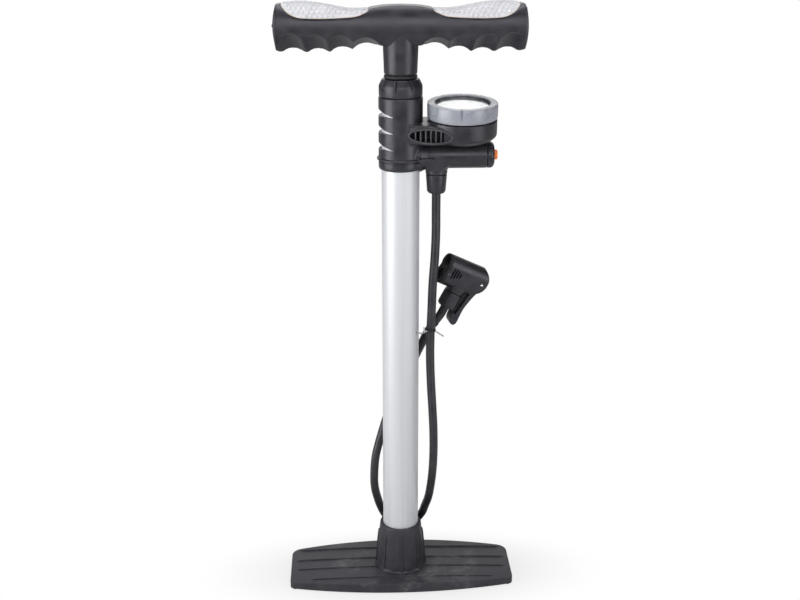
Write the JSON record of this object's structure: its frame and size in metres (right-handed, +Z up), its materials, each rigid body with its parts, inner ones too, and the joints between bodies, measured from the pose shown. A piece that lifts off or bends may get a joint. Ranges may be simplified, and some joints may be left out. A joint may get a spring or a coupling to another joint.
{
  "type": "floor bike pump",
  "caption": "Upright floor pump for bicycle tyres: foot plate, tall barrel, wide plunger handle, head with pressure gauge and release button, and a tied hose with a twin-port lever chuck.",
  "frame": {"origin": "barrel axis at the floor", "axes": "+Z up along the barrel, +X towards the gauge, -Y towards the front where the foot plate is trodden"},
  "size_m": [0.247, 0.093, 0.6254],
  "materials": {
    "black_plastic": "moulded, satin",
    "grey_plastic": "moulded, satin grey",
    "white_plastic": "moulded, natural white",
    "orange_plastic": "moulded, bright orange",
    "needle_red": "painted red",
    "dial_white": "printed white sheet",
    "grip_clear": "translucent white soft moulding",
    "black_rubber": "matt black",
    "hose_rubber": "satin black",
    "barrel_aluminium": "satin silver",
    "rod_chrome": "polished",
    "steel": "bright zinc",
    "brass": "turned",
    "lens_clear": "clear"
  },
  "bodies": {
    "pump_body": {"foot_plate": "black_plastic", "rubber_pads": "black_rubber", "foot_bolt": "steel", "foot_washer": "steel", "bottom_plug": "white_plastic", "check_seat": "brass", "check_spring": "steel", "plug_rings": "black_rubber", "barrel": "barrel_aluminium", "pressure_cylinder": "barrel_aluminium", "top_plug": "white_plastic", "rod_bush": "brass", "clamp_sleeve": "white_plastic", "head_housing": "black_plastic", "head_rings": "black_rubber", "barrel_cap": "black_plastic", "rod_wiper": "black_rubber", "gauge_movement": "brass", "gauge_nipple": "brass", "gauge_dial": "dial_white", "gauge_spacer": "white_plastic", "gauge_lens": "lens_clear", "gauge_bezel": "grey_plastic", "release_end_cap": "black_plastic", "release_spring": "steel", "hose_barb": "brass", "hose_nut": "black_plastic", "hose": "hose_rubber", "hose_tie": "steel", "chuck_nut": "black_plastic", "chuck_body": "black_plastic", "chuck_face_plate": "black_plastic", "wide_grommet": "black_rubber", "slim_grommet": "black_rubber", "lever_pin": "steel"},
    "piston": {"piston": "white_plastic", "piston_ring": "black_rubber"},
    "handle": {"rod_nut": "steel", "piston_rod": "rod_chrome", "handle_insert": "brass", "handle_body": "black_plastic", "grip_left": "grip_clear", "grip_right": "grip_clear", "bumper_ring": "black_rubber"},
    "release_button": {"release_button": "orange_plastic", "release_poppet": "black_rubber"},
    "gauge_needle": {"gauge_needle": "needle_red"},
    "chuck_lever": {"chuck_lever": "black_plastic"},
    "chuck_plunger": {"chuck_plunger": "white_plastic"},
    "check_ball": {"check_ball": "steel"}
  },
  "joints": [
    {"name": "pump_stroke", "type": "slide", "parent": "pump_body", "child": "piston", "axis": [0, 0, 1], "range_m": [0, 0.4]},
    {"name": "handle_turn", "type": "hinge", "parent": "piston", "child": "handle", "pos_m": [0, 0, 0.06], "axis": [0, 0, 1], "continuous": true},
    {"name": "release_press", "type": "slide", "parent": "pump_body", "child": "release_button", "axis": [-1, 0, 0], "range_m": [0, 0.0025], "stiffness_N_per_m": 200, "springref_m": -0.001, "deforming": ["release_spring"]},
    {"name": "needle_turn", "type": "hinge", "parent": "pump_body", "child": "gauge_needle", "pos_m": [0.061, -0.00322, 0.51487], "axis": [0, 0.0785, -0.9969], "range_deg": [0, 270], "stiffness_Nm_per_rad": 0.0002},
    {"name": "lever_flip", "type": "hinge", "parent": "pump_body", "child": "chuck_lever", "pos_m": [0.08338, 0.02223, 0.33288], "axis": [0.2284, -0.9659, -0.1218], "range_deg": [0, 90]},
    {"name": "plunger_squeeze", "type": "slide", "parent": "pump_body", "child": "chuck_plunger", "axis": [-0.8523, -0.2588, 0.4546], "range_m": [0, 0.002]},
    {"name": "check_lift", "type": "slide", "parent": "pump_body", "child": "check_ball", "axis": [0, 0, -1], "range_m": [0, 0.0015], "stiffness_N_per_m": 60, "springref_m": -0.001, "deforming": ["check_spring"]}
  ],
  "couplings": [
    {"joint": "lever_flip", "follows": "plunger_squeeze", "rad_per_m": 785.4}
  ]
}
